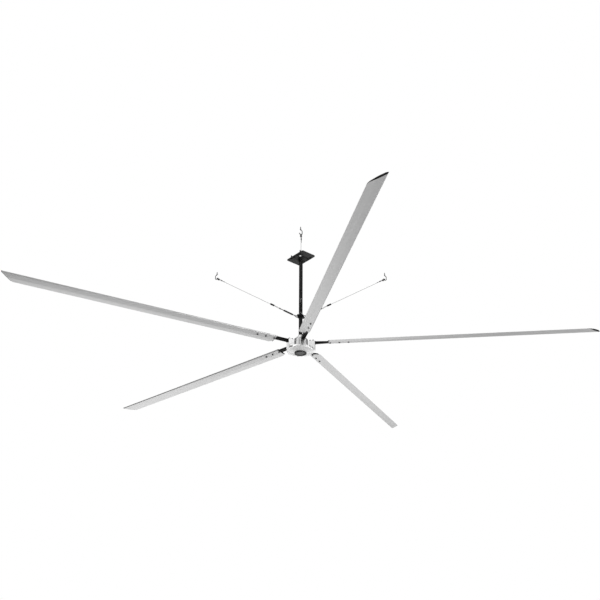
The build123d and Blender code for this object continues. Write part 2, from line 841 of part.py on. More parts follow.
def arm_seat():
    length = seat_outer_radius - seat_inner_radius
    middle = (seat_top_height + hub_bottom) / 2
    seat = Pos(seat_inner_radius, 0, middle) * block(length, seat_width, seat_top_height - hub_bottom)
    flange_low = hub_bottom - seat_flange_drop
    flange = block(seat_flange_thickness, seat_flange_width, seat_top_height - flange_low)
    place = Pos(seat_outer_radius - seat_flange_thickness, 0, (seat_top_height + flange_low) / 2)
    return seat + place * flange


def arm_socket():
    width = tenon_width + 2 * running_clearance
    height = tenon_thickness + 2 * running_clearance
    socket = block(seat_outer_radius - seat_inner_radius + 2 * cut_overrun, width, height)
    return pitched(Pos(seat_inner_radius - cut_overrun, 0, 0) * socket)


def seat_pocket():
    floor = hub_top + seat_pocket_floor
    pocket = block(seat_pocket_length + cut_overrun, seat_pocket_width, seat_pocket_top - floor)
    return Pos(seat_inner_radius - cut_overrun, 0, (seat_pocket_top + floor) / 2) * pocket


def hub_casting():
    body = Pos(0, 0, level(hub_bottom)) * rod_piece(hub_disc_radius, hub_disc_thickness)
    for k in range(blade_count):
        body += on_arm(arm_seat(), k)
    for k in range(blade_count):
        body -= on_arm(arm_socket(), k)
        body -= on_arm(seat_pocket(), k)
        for reach in seat_bolt_reaches:
            body -= on_arm(Pos(reach, 0, seat_top_height) * bolt_hole(m16, seat_bolt_grip + cut_overrun), k)
    for hole in at_shaft_bolts(bolt_hole(m10, hub_disc_thickness + cut_overrun)):
        body -= hole
    for hole in at_cover_screws(bolt_hole(m6, cover_rim_drop + hub_disc_thickness / 2)):
        body -= hole
    return body


def at_cover_screws(piece):
    pieces = []
    for k in range(blade_count):
        azimuth = first_arm_azimuth + (k + 0.5) * 360 / blade_count
        place = Rot(0, 0, azimuth) * Pos(cover_screw_radius, 0, level(hub_bottom - cover_rim_drop))
        pieces.append(place * Rot(180, 0, 0) * piece)
    return pieces


save(hub_casting(), "hub_casting")

# Lower cover: a shallow cone with a flat rim, and the ring and disc at its middle
cover_rim = hub_bottom - cover_rim_drop
cover_bottom = hub_bottom - cover_depth


def lower_cover():
    body = Pos(0, 0, blade_plane) * turned([
        (cover_radius, hub_bottom),
        (cover_radius, cover_rim),
        (cover_radius - cover_rim_width, cover_rim),
        (ring_radius, cover_bottom),
        (cover_hole_radius, cover_bottom),
        (cover_hole_radius, cover_bottom + cover_sheet),
        (ring_radius - cover_sheet / 4, cover_bottom + cover_sheet),
        (cover_radius - cover_rim_width - cover_sheet, cover_rim + cover_sheet),
        (cover_radius - cover_rim_width - cover_sheet, hub_bottom),
    ])
    for hole in at_cover_screws(bolt_hole(m6, cover_rim_drop + cut_overrun)):
        body -= hole
    return body


def centre_ring():
    inner = ring_radius - ring_width
    low = cover_bottom - ring_depth
    return Pos(0, 0, blade_plane) * turned([
        (inner, cover_bottom),
        (ring_radius, cover_bottom),
        (ring_radius, low + ring_chamfer),
        (ring_radius - ring_chamfer, low),
        (inner, low),
    ])


centre_disc = rod_piece(ring_radius - ring_width - running_clearance, disc_depth)
save(lower_cover(), "lower_cover")
save(group(at_cover_screws(bolt(m6, cover_rim_drop + hub_disc_thickness / 2 - cut_overrun))), "cover_screws")
save(centre_ring(), "centre_ring")
save(Pos(0, 0, level(cover_bottom - disc_depth)) * centre_disc, "centre_disc")


# Blade section, drawn chordwise and square to the chord
def spread(shares, reach, height):
    return [(x * reach, y * height) for x, y in shares]


def section_outline():
    flat_end = spade_width / 2
    nose_upper = (nose_upper_shares[0] * leading_edge, nose_upper_shares[1] * crown_height)
    nose_tip = (leading_edge, nose_tip_share * crown_height)
    nose_lower = (nose_lower_shares[0] * leading_edge, -nose_lower_shares[1] * under_depth)
    rear_upper = spread(rear_upper_shares, trailing_edge, crown_height)
    rear_lower = spread(rear_lower_shares, trailing_edge, -under_depth)
    trailing_low = (trailing_edge, trailing_camber)
    trailing_high = (trailing_edge, trailing_camber + trailing_thickness)
    under = Line((flat_end, -under_depth), (-flat_end, -under_depth))
    under_rear = Spline((-flat_end, -under_depth), *rear_lower, trailing_low,
                        tangents=((-1, 0), (-1, 0.1)))
    tail = Line(trailing_low, trailing_high)
    over_rear = Spline(trailing_high, *rear_upper, (-crown_half_width, crown_height),
                       tangents=((1, 0.14), (1, 0)))
    crown = Line((-crown_half_width, crown_height), (crown_half_width, crown_height))
    nose = Spline((crown_half_width, crown_height), nose_upper, nose_tip, nose_lower,
                  (flat_end, -under_depth), tangents=((1, 0), (-1, 0)))
    return make_face([under, under_rear, tail, over_rear, crown, nose])


def middle_cell():
    width = spade_width + 2 * seat_clearance
    return Rectangle(width, spade_thickness + 2 * running_clearance)


def rear_cell():
    # the hollow between the middle cell's web and the trailing edge
    front = -spade_width / 2 - seat_clearance - skin
    rear = trailing_edge * rear_cell_end_share
    upper = crown_height * rear_cell_upper_share
    lower = -under_depth + skin
    tip_low = trailing_camber - rear_cell_tip_drop_share * under_depth
    tip_high = trailing_camber + trailing_thickness
    return make_face(Polyline((front, lower), (front, upper), (rear, tip_high), (rear, tip_low), close=True))


def nose_cell():
    back = spade_width / 2 + seat_clearance + skin
    upper = (back, nose_cell_height_share * crown_height)
    lower = (back, -nose_cell_height_share * crown_height)
    tip = (leading_edge - skin, nose_tip_share * crown_height)
    return make_face([Line(lower, upper), ThreePointArc(upper, tip, lower)])


rear_cell_end_share = 0.86
rear_cell_upper_share = 0.60
rear_cell_tip_drop_share = 0.02
nose_cell_height_share = 0.55
section_height = under_depth + crown_height


def tip_outline(inset):
    # plan of the blade up to its swept tip, taken in by an inset square to the swept edge
    shift = inset * math.hypot(1, tip_sweep)
    tip = blade_tip_radius - shift
    front = tip + tip_sweep * section_height
    back = tip - tip_sweep * (leading_edge - trailing_edge)
    outline = Polyline(
        (blade_root_radius, leading_edge + section_height),
        (front, leading_edge + section_height),
        (back, trailing_edge),
        (blade_root_radius, trailing_edge),
        close=True)
    plan = make_face(outline)
    corner = plan.vertices().sort_by_distance((back, trailing_edge, 0))[0]
    plan = fillet(corner, tip_corner_radius - inset)
    return extrude(plan, 2 * section_height, both=True)


bolt_reaches = [blade_root_radius + offset for offset in bolt_offsets]


def spar_holes(size):
    return [Pos(reach, 0, section_height) * bolt_hole(size, 2 * section_height) for reach in bolt_reaches]


def blade():
    face = section_outline() - middle_cell() - rear_cell() - nose_cell()
    length = blade_tip_radius - blade_root_radius
    body = Pos(blade_root_radius, 0, 0) * extrude(Plane.YZ * face, length)
    body = body & tip_outline(tip_cap_thickness)
    corner = Polyline((0, 0), (root_corner_length, 0), (0, root_corner_width), close=True)
    corner = extrude(make_face(corner), 2 * section_height, both=True)
    body -= Pos(blade_root_radius, trailing_edge, 0) * corner
    for hole in spar_holes(m12):
        body -= hole
    return pitched(body)


def tip_cap():
    length = 3 * (leading_edge - trailing_edge)
    body = Pos(blade_tip_radius - length, 0, 0) * extrude(Plane.YZ * section_outline(), length)
    return pitched((body & tip_outline(0)) - tip_outline(tip_cap_thickness))


# Arm: the tenon in the hub, a shoulder, the tapered beam, a root collar and the spade
beam_start = seat_outer_radius + shoulder_thickness
beam_end = blade_root_radius - root_collar_thickness


def cross_section(reach, width, thickness, centre=0.0):
    corner = min(beam_corner_radius, thickness / 3)
    return Plane.YZ.offset(reach) * (Pos(0, centre) * RectangleRounded(width, thickness, corner))


def beam():
    body = loft([
        cross_section(beam_start, beam_root_width, beam_root_thickness),
        cross_section(beam_end, beam_tip_width, beam_tip_thickness),
    ])
    margin = (beam_end - beam_start) / 12
    for side in (1, -1):
        body -= loft([
            cross_section(beam_start + margin, beam_root_width * groove_width_share,
                          2 * beam_root_thickness * groove_depth_share, side * beam_root_thickness / 2),
            cross_section(beam_end - margin, beam_tip_width * groove_width_share,
                          2 * beam_tip_thickness * groove_depth_share, side * beam_tip_thickness / 2),
        ])
    return body


def root_collar_face():
    # the blade's section, cut off short of the blade's two edges
    front = root_collar_front_share * leading_edge
    rear = root_collar_rear_share * trailing_edge
    window = Pos(rear, 0) * Rectangle(front - rear, 4 * section_height, align=(Align.MIN, Align.CENTER))
    return section_outline() & window


def arm():
    tenon = Pos(tenon_start, 0, 0) * block(seat_outer_radius - tenon_start, tenon_width, tenon_thickness)
    shoulder = extrude(cross_section(seat_outer_radius, shoulder_width, shoulder_height), shoulder_thickness)
    spade = RectangleRounded(2 * spade_length, spade_width, spade_corner_radius)
    spade = extrude(spade, spade_thickness / 2, both=True) & block(spade_length, spade_width, spade_thickness)
    spade = Pos(blade_root_radius, 0, 0) * spade
    collar = Pos(beam_end, 0, 0) * extrude(Plane.YZ * root_collar_face(), root_collar_thickness)
    body = tenon + shoulder + beam() + collar + spade
    for hole in spar_holes(m12):
        body -= hole
    body = pitched(body)
    for reach in seat_bolt_reaches:
        body -= Pos(reach, 0, seat_top_height) * bolt_hole(m16, seat_bolt_grip)
    return body


def arm_bolts():
    # heads in the seats' pockets, nuts and a little thread on their tops
    pieces = []
    for k in range(blade_count):
        for reach in seat_bolt_reaches:
            place = Pos(reach, 0, seat_pocket_top) * Rot(180, 0, 0)
            pieces.append(on_arm(place * bolt(m16, seat_bolt_grip, m16[3] + seat_bolt_end), k))
            pieces.append(on_arm(place * bolt_nut(m16, seat_bolt_grip), k))
    return group(pieces)


def blade_bolts():
    # heads under the blade and nuts on its crown
    pieces = []
    for k in range(blade_count):
        for reach in bolt_reaches:
            place = Pos(reach, 0, -under_depth) * Rot(180, 0, 0)
            pieces.append(on_arm(pitched(place * bolt(m12, section_height, m12[3])), k))
            pieces.append(on_arm(pitched(place * bolt_nut(m12, section_height)), k))
    return group(pieces)


one_blade = blade()
one_cap = tip_cap()
one_arm = arm()
for number in range(blade_count):
    save(on_arm(one_arm, number), f"arm_{number + 1}")
    save(on_arm(one_blade, number), f"blade_{number + 1}")
    save(on_arm(one_cap, number), f"tip_cap_{number + 1}")
save(arm_bolts(), "arm_bolts")
save(blade_bolts(), "blade_bolts")
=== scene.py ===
import json
import math
import bmesh
import bpy
import numpy as np
from mathutils import Matrix, Vector


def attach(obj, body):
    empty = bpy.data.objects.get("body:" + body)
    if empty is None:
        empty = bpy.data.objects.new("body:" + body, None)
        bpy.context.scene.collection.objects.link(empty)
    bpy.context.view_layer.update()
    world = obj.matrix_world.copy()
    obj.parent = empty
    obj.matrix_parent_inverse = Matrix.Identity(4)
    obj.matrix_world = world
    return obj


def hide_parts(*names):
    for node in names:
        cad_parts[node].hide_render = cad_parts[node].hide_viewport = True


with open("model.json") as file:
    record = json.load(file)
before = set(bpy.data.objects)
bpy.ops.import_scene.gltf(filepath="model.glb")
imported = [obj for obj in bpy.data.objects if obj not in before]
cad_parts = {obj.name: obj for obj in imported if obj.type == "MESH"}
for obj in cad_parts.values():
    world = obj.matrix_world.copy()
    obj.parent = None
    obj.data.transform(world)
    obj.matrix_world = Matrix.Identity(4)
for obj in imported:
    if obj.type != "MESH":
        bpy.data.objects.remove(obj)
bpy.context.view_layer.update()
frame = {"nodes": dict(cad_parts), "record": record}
nodes = frame["nodes"]
print("frame loaded", len(nodes), "nodes")

# The fan's own sizes that its wires and patterns follow, in metres. Heights are above the plane of
# the arms, which hangs the drop below the ceiling
fan = {
    "drop": 1.25,
    "bladeCount": 5,
    "firstArm": math.radians(-78.85),
    "guyNames": ["near", "right", "far", "left"],
    "firstGuy": math.radians(-90),
    "earReach": 0.052,
    "collarHeight": 0.378,
    "hookReach": 1.095,
    "hookHeight": 0.924,
}
guyRise = fan["hookHeight"] - fan["collarHeight"]
guySlope = math.atan2(guyRise, fan["hookReach"] - fan["earReach"])

# Where the photograph was taken from, in metres and degrees, with its lens in millimetres
view = {
    "place": (0.0, -9.1675, -5.380),
    "pitch": 27.37,
    "turn": 0.06,
    "roll": 0.31,
    "lens": 47.83,
    "sensor": 36.0,
    "farthest": 200.0,
}


def makeCamera():
    data = bpy.data.cameras.new("mainCamera")
    data.lens = view["lens"]
    data.sensor_width = view["sensor"]
    data.sensor_fit = "HORIZONTAL"
    data.clip_end = view["farthest"]
    camera = bpy.data.objects.new("mainCamera", data)
    bpy.context.scene.collection.objects.link(camera)
    turn = Matrix.Rotation(math.radians(view["turn"]), 4, "Z")
    tilt = Matrix.Rotation(math.radians(90 + view["pitch"]), 4, "X")
    roll = Matrix.Rotation(math.radians(view["roll"]), 4, "Z")
    camera.matrix_world = Matrix.Translation(view["place"]) @ turn @ tilt @ roll
    bpy.context.scene.camera = camera


makeCamera()
print("camera set")


class Number:
    # a shader socket that can be used in sums
    def __init__(self, nodeTree, socket):
        self.nodeTree = nodeTree
        self.socket = socket

    def sum(self, kind, *others):
        values = dict(enumerate((self, *others)))
        made = self.nodeTree.make("ShaderNodeMath", {"operation": kind}, values)
        return Number(self.nodeTree, made.outputs[0])

    def __add__(self, other):
        return self.sum("ADD", other)

    def __radd__(self, other):
        return self.sum("ADD", other)

    def __sub__(self, other):
        return self.sum("SUBTRACT", other)

    def __rsub__(self, other):
        return self.nodeTree.number(other) - self

    def __mul__(self, other):
        return self.sum("MULTIPLY", other)

    def __rmul__(self, other):
        return self.sum("MULTIPLY", other)

    def wrap(self, span):
        return self.sum("FLOORED_MODULO", span)

    def sin(self):
        return self.sum("SINE")

    def cos(self):
        return self.sum("COSINE")

    def root(self):
        return self.sum("SQRT")

    def above(self, limit):
        return self.sum("GREATER_THAN", limit)

    def clamped(self):
        return self.sum("MAXIMUM", 0.0).sum("MINIMUM", 1.0)

    def swing(self, size):
        # a noise, whose middle is 0.5, as a change to either side of nothing
        return (self - 0.5) * size


class NodeTree:
    def __init__(self, tree):
        self.tree = tree

    def put(self, socket, value):
        if isinstance(value, Number):
            value = value.socket
        if isinstance(value, bpy.types.NodeSocket):
            self.tree.links.new(value, socket)
        else:
            socket.default_value = value

    def make(self, kind, settings=None, sockets=None):
        made = self.tree.nodes.new(kind)
        for name, value in (settings or {}).items():
            setattr(made, name, value)
        for name, value in (sockets or {}).items():
            self.put(made.inputs[name], value)
        return made

    def number(self, value):
        made = self.make("ShaderNodeValue")
        made.outputs[0].default_value = value
        return Number(self, made.outputs[0])

    def split(self, source):
        made = self.make("ShaderNodeSeparateXYZ", sockets={"Vector": source})
        return [Number(self, output) for output in made.outputs]


class Surface(NodeTree):
    def __init__(self, name):
        self.material = bpy.data.materials.new(name)
        self.material.use_nodes = True
        super().__init__(self.material.node_tree)
        self.shader = self.tree.nodes["Principled BSDF"]
        self.bumps = None

    def coordinates(self):
        # the object's own, which are the fan's
        return self.make("ShaderNodeTexCoord").outputs["Object"]

    def vector(self, x, y, z):
        return self.make("ShaderNodeCombineXYZ", sockets={"X": x, "Y": y, "Z": z}).outputs["Vector"]

    def noise(self, vector, scale, detail=3.0):
        sockets = {"Vector": vector, "Scale": scale, "Detail": detail}
        return Number(self, self.make("ShaderNodeTexNoise", sockets=sockets).outputs["Fac"])

    def shade(self, grey, factor):
        # a grey made lighter or darker by a number round one
        settings = {"data_type": "RGBA", "blend_type": "MULTIPLY"}
        sockets = {"Factor": 1.0, "A": (grey, grey, grey, 1.0), "B": self.vector(factor, factor, factor)}
        return self.make("ShaderNodeMix", settings, sockets).outputs["Result"]

    def bump(self, height, distance, strength=1.0):
        sockets = {"Height": height, "Distance": distance, "Strength": strength}
        if self.bumps:
            sockets["Normal"] = self.bumps
        self.bumps = self.make("ShaderNodeBump", sockets=sockets).outputs["Normal"]
        self.put(self.shader.inputs["Normal"], self.bumps)

    def set(self, **values):
        for name, value in values.items():
            self.put(self.shader.inputs[name.replace("_", " ")], value)


# Coated and plain surfaces: how pale, rough, metallic and shiny they are, the scale and depth of
# their grain, and how far blotches change their shade
plainLooks = {
    "plate_black": {"grey": 0.042, "rough": 0.52, "metal": 0.0, "shine": 0.20,
                    "grain": 900, "depth": 0.00005, "blotch": 0.20},
    "rod_black": {"grey": 0.006, "rough": 0.42, "metal": 0.0, "shine": 0.20,
                  "grain": 900, "depth": 0.00004, "blotch": 0.15},
    "collar_black": {"grey": 0.005, "rough": 0.45, "metal": 0.0, "shine": 0.10,
                     "grain": 1100, "depth": 0.00004, "blotch": 0.15},
    "turnbuckle_black": {"grey": 0.008, "rough": 0.40, "metal": 0.0, "shine": 0.20,
                         "grain": 700, "depth": 0.00005, "blotch": 0.25},
    "lock_black": {"grey": 0.010, "rough": 0.55, "metal": 0.0, "shine": 0.15,
                   "grain": 1500, "depth": 0.00003, "blotch": 0.12},
    "wire_rope": {"grey": 0.07, "rough": 0.60, "metal": 0.2, "shine": 0.20,
                  "grain": 1500, "depth": 0.00002, "blotch": 0.10},
    "ring_black": {"grey": 0.030, "rough": 0.50, "metal": 0.0, "shine": 0.20,
                   "grain": 1300, "depth": 0.00003, "blotch": 0.10},
    "cap_black": {"grey": 0.010, "rough": 0.50, "metal": 0.0, "shine": 0.15,
                  "grain": 1300, "depth": 0.00003, "blotch": 0.12},
    "arm_black": {"grey": 0.004, "rough": 0.40, "metal": 0.0, "shine": 0.10,
                  "grain": 800, "depth": 0.00005, "blotch": 0.18},
    "disc_grey": {"grey": 0.110, "rough": 0.45, "metal": 0.0, "shine": 0.30,
                  "grain": 1200, "depth": 0.00002, "blotch": 0.08},
    "neck_silver": {"grey": 0.72, "rough": 0.28, "metal": 1.0, "shine": 0.50,
                    "grain": 800, "depth": 0.00002, "blotch": 0.05},
    "housing_grey": {"grey": 0.55, "rough": 0.30, "metal": 0.7, "shine": 0.50,
                     "grain": 800, "depth": 0.00002, "blotch": 0.05},
    "hub_silver": {"grey": 0.82, "rough": 0.24, "metal": 1.0, "shine": 0.50,
                   "grain": 600, "depth": 0.00002, "blotch": 0.04},
    "cover_silver": {"grey": 0.98, "rough": 0.34, "metal": 0.45, "shine": 0.50,
                     "grain": 900, "depth": 0.00002, "blotch": 0.04},
}

# How blotches and grain show on them
coating = {
    "blotchScale": 14.0,
    "blotchRough": 0.16,
    "grainDetail": 2.0,
    "grainRough": 0.10,
    "grainStrength": 0.6,
}

# Metals left bare or plated: how pale, rough and metallic they are and how far blotches change them
metalLooks = {
    "bolt_dark": {"grey": 0.022, "rough": 0.46, "metal": 0.6, "blotch": 0.30},
    "zinc": {"grey": 0.20, "rough": 0.36, "metal": 1.0, "blotch": 0.14},
    "thimble_zinc": {"grey": 0.20, "rough": 0.38, "metal": 1.0, "blotch": 0.16},
    "shackle_dark": {"grey": 0.05, "rough": 0.48, "metal": 0.9, "blotch": 0.25},
    "ferrule_grey": {"grey": 0.12, "rough": 0.45, "metal": 0.9, "blotch": 0.20},
    "bearing_steel": {"grey": 0.58, "rough": 0.25, "metal": 1.0, "blotch": 0.05},
    "stator_iron": {"grey": 0.12, "rough": 0.60, "metal": 0.4, "blotch": 0.20},
    "magnet_iron": {"grey": 0.22, "rough": 0.35, "metal": 0.9, "blotch": 0.10},
}

# How blotches and scratches show on them
plating = {
    "blotchScale": 60.0,
    "blotchDetail": 4.0,
    "blotchRough": 0.20,
    "scratchScale": 1400.0,
    "scratchDetail": 2.0,
    "scratchRough": 0.08,
    "scratchDepth": 0.00003,
    "scratchStrength": 0.5,
}

# Marks that only some surfaces have, with their places and sizes in metres
marks = {
    "turned": ["neck_silver", "housing_grey", "cover_silver", "ring_black", "disc_grey"],
    "turnedScale": 1500.0,
    "turnedDetail": 2.0,
    "turnedDepth": 0.00004,
    "turnedStrength": 0.6,
    "yokeBelow": -0.0102,
    "yokeShade": 0.45,
    "screwThread": 0.0015,
    "screwRuns": (0.052, 0.230),
    "screwRadius": 0.0054,
    "screwDepth": 0.0006,
    "crimpSpacing": 0.0062,
    "crimpDepth": 0.0008,
}


def turnedRings(surface, place):
    # fine rings left by turning, from the distance to the fan's axis and the height
    x, y, z = place
    radius = (x * x + y * y).root()
    rings = surface.vector(radius, z, 0.0)
    return surface.noise(rings, marks["turnedScale"], marks["turnedDetail"])


def guyPlace(place):
    # every guy's own run and distance from its middle line, from one formula
    x, y, z = place
    quarter = math.pi / 2
    folded = (y.sum("ARCTAN2", x) - fan["firstGuy"] + quarter / 2).wrap(quarter) - quarter / 2
    flat = (x * x + y * y).root()
    reach = flat * folded.cos() - fan["earReach"]
    side = flat * folded.sin()
    rise = z + (fan["drop"] - fan["collarHeight"])
    run = reach * math.cos(guySlope) + rise * math.sin(guySlope)
    over = rise * math.cos(guySlope) - reach * math.sin(guySlope)
    return run, (side * side + over * over).root()


def ridges(along, spacing):
    # a wave between nothing and one
    return (along * (2 * math.pi / spacing)).sin() * 0.5 + 0.5


def metalMarks(surface, name, place):
    if name == "zinc":
        # the screws of the guys' eyes are threaded, their loops aren't
        run, out = guyPlace(place)
        low, high = marks["screwRuns"]
        screw = run.above(low) * (1 - run.above(high)) * (1 - out.above(marks["screwRadius"]))
        surface.bump(ridges(run, marks["screwThread"]) * screw, marks["screwDepth"])
    if name == "ferrule_grey":
        run, out = guyPlace(place)
        surface.bump(ridges(run, marks["crimpSpacing"]), marks["crimpDepth"])


def plainSurface(name, look):
    surface = Surface(name)
    source = surface.coordinates()
    place = surface.split(source)
    blotch = surface.noise(source, coating["blotchScale"])
    grain = surface.noise(source, look["grain"], coating["grainDetail"])
    shade = 1 + blotch.swing(2 * look["blotch"])
    if name == "plate_black":
        # the yoke under the plate is darker than the plate
        yoke = 1 - place[2].above(marks["yokeBelow"])
        shade = shade * (1 - yoke * (1 - marks["yokeShade"]))
    rough = look["rough"] + blotch.swing(coating["blotchRough"]) + grain.swing(coating["grainRough"])
    surface.set(Base_Color=surface.shade(look["grey"], shade), Roughness=rough.clamped())
    surface.set(Metallic=look["metal"], Specular_IOR_Level=look["shine"])
    if name in marks["turned"]:
        surface.bump(turnedRings(surface, place), marks["turnedDepth"], marks["turnedStrength"])
    surface.bump(grain, look["depth"], coating["grainStrength"])
    return surface


def metalSurface(name, look):
    surface = Surface(name)
    source = surface.coordinates()
    place = surface.split(source)
    blotch = surface.noise(source, plating["blotchScale"], plating["blotchDetail"])
    scratches = surface.noise(source, plating["scratchScale"], plating["scratchDetail"])
    base = surface.shade(look["grey"], 1 + blotch.swing(2 * look["blotch"]))
    rough = look["rough"] + blotch.swing(plating["blotchRough"]) + scratches.swing(plating["scratchRough"])
    surface.set(Base_Color=base, Roughness=rough.clamped(), Metallic=look["metal"])
    surface.bump(scratches, plating["scratchDepth"], plating["scratchStrength"])
    metalMarks(surface, name, place)
    return surface


# The blades, with the lines that drawing leaves along them and soft patches
blade = {
    "grey": 0.70,
    "rough": 0.38,
    "metal": 0.75,
    "lineScale": 900.0,
    "lineStretch": 0.004,
    "lineShade": 0.08,
    "lineRough": 0.16,
    "lineDepth": 0.00002,
    "lineStrength": 0.5,
    "patchScale": 9.0,
    "patchStretch": 0.4,
    "patchShade": 0.05,
    "patchRough": 0.08,
}


def bladePlace(place):
    # every blade's own run along its arm and offset across it, from one formula
    x, y, z = place
    share = 2 * math.pi / fan["bladeCount"]
    angle = y.sum("ARCTAN2", x)
    folded = (angle - fan["firstArm"] + share / 2).wrap(share) - share / 2
    reach = (x * x + y * y).root()
    return reach * folded.cos(), reach * folded.sin(), z + fan["drop"]


def bladeSurface():
    surface = Surface("blade_silver")
    along, across, height = bladePlace(surface.split(surface.coordinates()))
    drawn = surface.vector(along * blade["lineStretch"], across, height)
    lines = surface.noise(drawn, blade["lineScale"])
    patched = surface.vector(along * blade["patchStretch"], across, height)
    patches = surface.noise(patched, blade["patchScale"])
    shade = 1 + lines.swing(blade["lineShade"]) + patches.swing(blade["patchShade"])
    rough = blade["rough"] + lines.swing(blade["lineRough"]) + patches.swing(blade["patchRough"])
    surface.set(Base_Color=surface.shade(blade["grey"], shade), Roughness=rough.clamped())
    surface.set(Metallic=blade["metal"])
    surface.bump(lines, blade["lineDepth"], blade["lineStrength"])
    return surface


surfaces = {}
for name, look in plainLooks.items():
    surfaces[name] = plainSurface(name, look)
for name, look in metalLooks.items():
    surfaces[name] = metalSurface(name, look)
surfaces["blade_silver"] = bladeSurface()
print("surfaces made", len(surfaces))


def dress():
    slots = {piece["node"]: piece["material_slot"] for piece in frame["record"]["subparts"]}
    for name, item in nodes.items():
        item.data.materials.clear()
        item.data.materials.append(surfaces[slots[name]].material)


dress()
print("nodes dressed")


# The guy wires, each of strands laid round a core
rope = {
    "radius": 0.002,
    "strands": 6,
    "strandRadius": 0.00072,
    "layLength": 0.026,
    "sides": 6,
    "stepsPerLay": 12,
    "coreSides": 8,
    "resolution": 24,
    "firstSide": (0.3, 0.5, 0.8),
    # the route along the guy from the ear's hole, across it and square to both, in metres. The high
    # loop is flat, so it has one offset, and on every second guy it is turned a quarter
    "low": [(0.378, 0.0, 0.0046), (0.321, 0.0, 0.0046), (0.2445, 0.0, 0.0067), (0.2445, 0.0, -0.0071),
            (0.321, 0.0, 0.0)],
    "straight": [(0.346, 0.0, 0.0), (1.108, 0.0, 0.0)],
    "high": [(1.13197, 0.0), (1.16897, -0.0173), (1.16897, 0.0142), (1.13197, 0.0046), (1.06697, 0.0046)],
}


def quarterTurns(first, number):
    return Matrix.Rotation(first + number * math.pi / 2, 4, "Z")


def guyMatrix(number):
    # from a guy's own directions at the ear's hole to the fan's
    start = Matrix.Translation((fan["earReach"], 0, fan["collarHeight"] - fan["drop"]))
    return quarterTurns(fan["firstGuy"], number) @ start @ Matrix.Rotation(-guySlope, 4, "Y")


def ropeRoute(number):
    points = list(rope["low"]) + rope["straight"]
    for run, offset in rope["high"]:
        points.append((run, 0.0, offset) if number % 2 else (run, offset, 0.0))
    place = guyMatrix(number)
    return [place @ Vector(point) for point in points]


def splineLine(points):
    # the smooth line of one open spline with these control points
    curve = bpy.data.curves.new("routeCurve", "CURVE")
    curve.dimensions = "3D"
    spline = curve.splines.new("NURBS")
    spline.points.add(len(points) - 1)
    for spot, point in zip(spline.points, points):
        spot.co = (*point, 1.0)
    spline.order_u = 3
    spline.use_endpoint_u = True
    spline.resolution_u = rope["resolution"]
    item = bpy.data.objects.new("routeCurve", curve)
    bpy.context.scene.collection.objects.link(item)
    mesh = bpy.data.meshes.new_from_object(item)
    line = [vertex.co.copy() for vertex in mesh.vertices]
    bpy.data.objects.remove(item)
    bpy.data.meshes.remove(mesh)
    bpy.data.curves.remove(curve)
    return line


def evenly(line, step):
    # the same line cut into equal steps
    places = np.array([tuple(point) for point in line])
    runs = np.concatenate([[0], np.cumsum(np.linalg.norm(np.diff(places, axis=0), axis=1))])
    count = max(2, int(round(runs[-1] / step)))
    at = np.linspace(0, runs[-1], count + 1)
    return np.stack([np.interp(at, runs, places[:, k]) for k in range(3)], 1), runs[-1]


def frames(places):
    # two directions across the line at each place, carried along it without a twist
    ahead = np.gradient(places, axis=0)
    ahead /= np.linalg.norm(ahead, axis=1)[:, None]
    side = np.cross(ahead[0], rope["firstSide"])
    sides = []
    for direction in ahead:
        side = side - direction * side.dot(direction)
        side = side / np.linalg.norm(side)
        sides.append(side)
    sides = np.array(sides)
    return sides, np.cross(ahead, sides)


def tubeFaces(ringCount, sides, first):
    faces = []
    for ring in range(ringCount - 1):
        for k in range(sides):
            low = first + ring * sides
            faces.append((low + k, low + (k + 1) % sides, low + sides + (k + 1) % sides, low + sides + k))
    faces.append(tuple(first + k for k in reversed(range(sides))))
    last = first + (ringCount - 1) * sides
    faces.append(tuple(last + k for k in range(sides)))
    return faces


def tubePoints(places, radius, sides):
    across, up = frames(places)
    points = []
    for place, right, above in zip(places, across, up):
        for k in range(sides):
            angle = 2 * math.pi * k / sides
            points.append(place + radius * (math.cos(angle) * right + math.sin(angle) * above))
    return points


def addPiece(mesh, name, slotName):
    mesh.materials.append(surfaces[slotName].material)
    item = bpy.data.objects.new(name, mesh)
    bpy.context.scene.collection.objects.link(item)
    return item


def makeRope(number, name):
    line = splineLine(ropeRoute(number))
    places, length = evenly(line, rope["layLength"] / rope["stepsPerLay"])
    across, up = frames(places)
    points, faces = [], []
    centre = rope["radius"] - rope["strandRadius"]
    for strand in range(rope["strands"]):
        laps = np.arange(len(places)) / rope["stepsPerLay"] + strand / rope["strands"]
        turns = 2 * math.pi * laps
        helix = places + centre * (np.cos(turns)[:, None] * across + np.sin(turns)[:, None] * up)
        faces += tubeFaces(len(helix), rope["sides"], len(points))
        points += tubePoints(helix, rope["strandRadius"], rope["sides"])
    faces += tubeFaces(len(places), rope["coreSides"], len(points))
    points += tubePoints(places, centre - rope["strandRadius"] / 2, rope["coreSides"])
    mesh = bpy.data.meshes.new(f"guyRope_{name}")
    mesh.from_pydata([tuple(point) for point in points], [], faces)
    mesh.update()
    for face in mesh.polygons:
        face.use_smooth = True
    item = addPiece(mesh, f"guyRope_{name}", "wire_rope")
    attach(item, "down_rod")
    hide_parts(f"guy_wire_{name}")
    return length


for number, name in enumerate(fan["guyNames"]):
    ropeLength = makeRope(number, name)
print("guy ropes made, each", round(ropeLength, 4), "m")


